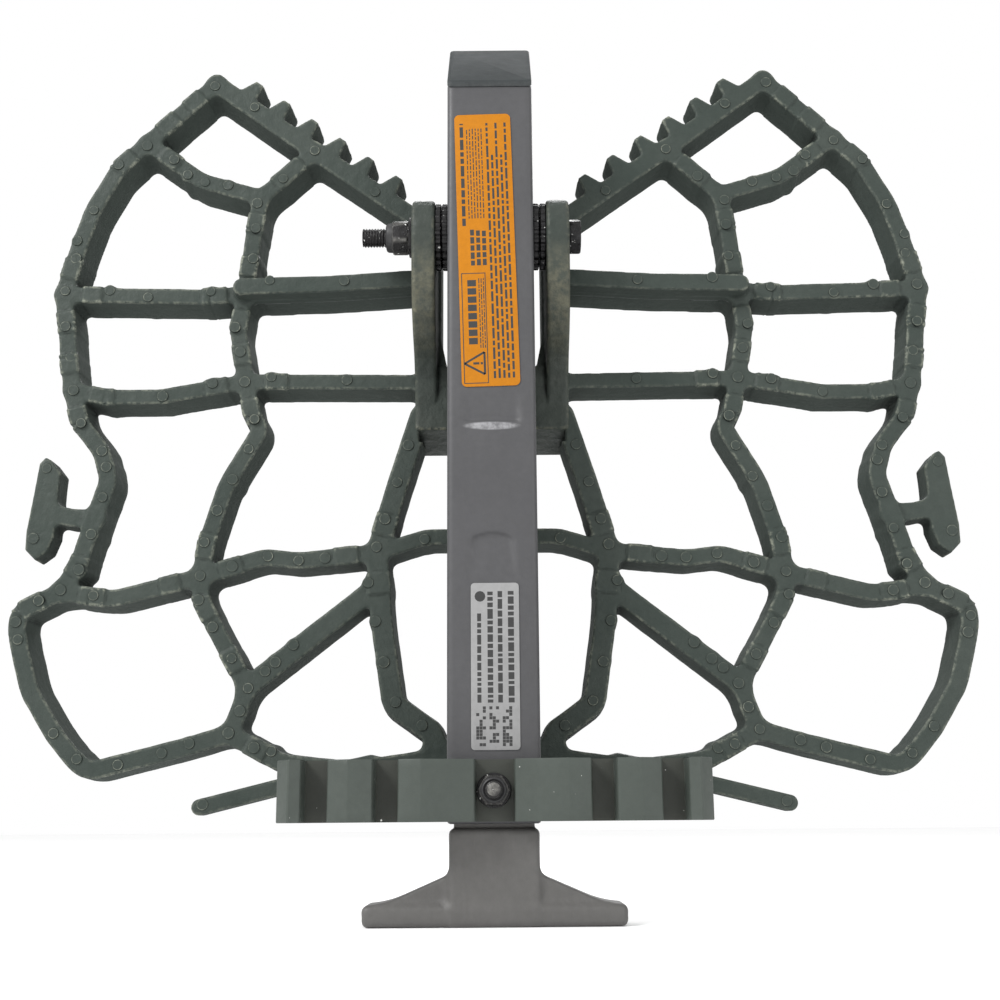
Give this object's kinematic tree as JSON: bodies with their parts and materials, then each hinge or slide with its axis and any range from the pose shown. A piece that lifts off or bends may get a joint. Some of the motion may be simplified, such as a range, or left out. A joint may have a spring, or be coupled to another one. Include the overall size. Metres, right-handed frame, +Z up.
{
  "type": "climbing tree stand",
  "caption": "Folding cast-aluminium tree platform with toothed V edges, a square post, a ridged trunk bar and a T-shaped foot, folded flat.",
  "frame": {"origin": "on the post's tree-side face, level with the hinge", "axes": "+Z up the post, -Y towards the tree, X along the hinge line"},
  "size_m": [0.4994, 0.09, 0.4671],
  "materials": {
    "platform_paint": "satin green-grey paint on cast aluminium, worn at edges",
    "post_paint": "satin grey paint on tube",
    "foot_paint": "satin grey paint with brush marks",
    "bar_paint": "satin green-grey paint on extruded bar",
    "black_steel": "black oxide steel",
    "plain_steel": "zinc-plated steel",
    "nylon": "dark nylon",
    "orange_label": "printed vinyl, orange with black print",
    "silver_label": "printed foil, silver with black print"
  },
  "bodies": {
    "post": {"post": "post_paint", "post_cap": "post_paint", "post_discs": "black_steel", "hinge_sleeve": "plain_steel", "foot": "foot_paint", "tree_bar": "bar_paint", "bar_bolt": "black_steel", "bar_nut": "black_steel", "bar_nut_ring": "nylon", "bar_washers": "black_steel", "warning_label": "orange_label", "serial_label": "silver_label"},
    "platform": {"hub": "platform_paint", "bridge": "platform_paint", "tail_bridge": "platform_paint", "rack_left": "platform_paint", "rack_right": "platform_paint", "rim_left": "platform_paint", "rim_right": "platform_paint", "upper_beam_left": "platform_paint", "upper_beam_right": "platform_paint", "lower_beam_left": "platform_paint", "lower_beam_right": "platform_paint", "web_left": "platform_paint", "web_right": "platform_paint", "spoke_left": "platform_paint", "spoke_right": "platform_paint", "tail_rim_left": "platform_paint", "tail_rim_right": "platform_paint", "stays_left": "platform_paint", "stays_right": "platform_paint", "leg_left": "platform_paint", "leg_right": "platform_paint", "horn_left": "platform_paint", "horn_right": "platform_paint", "gear_hook_left": "platform_paint", "gear_hook_right": "platform_paint", "hinge_bolt": "black_steel", "hinge_nut": "black_steel", "hinge_nut_ring": "nylon", "hinge_washer": "black_steel", "platform_discs": "black_steel"}
  },
  "joints": [
    {"name": "fold", "type": "hinge", "parent": "post", "child": "platform", "pos_m": [0, 0.022, 0], "axis": [1, 0, 0], "range_deg": [0, 90]}
  ]
}
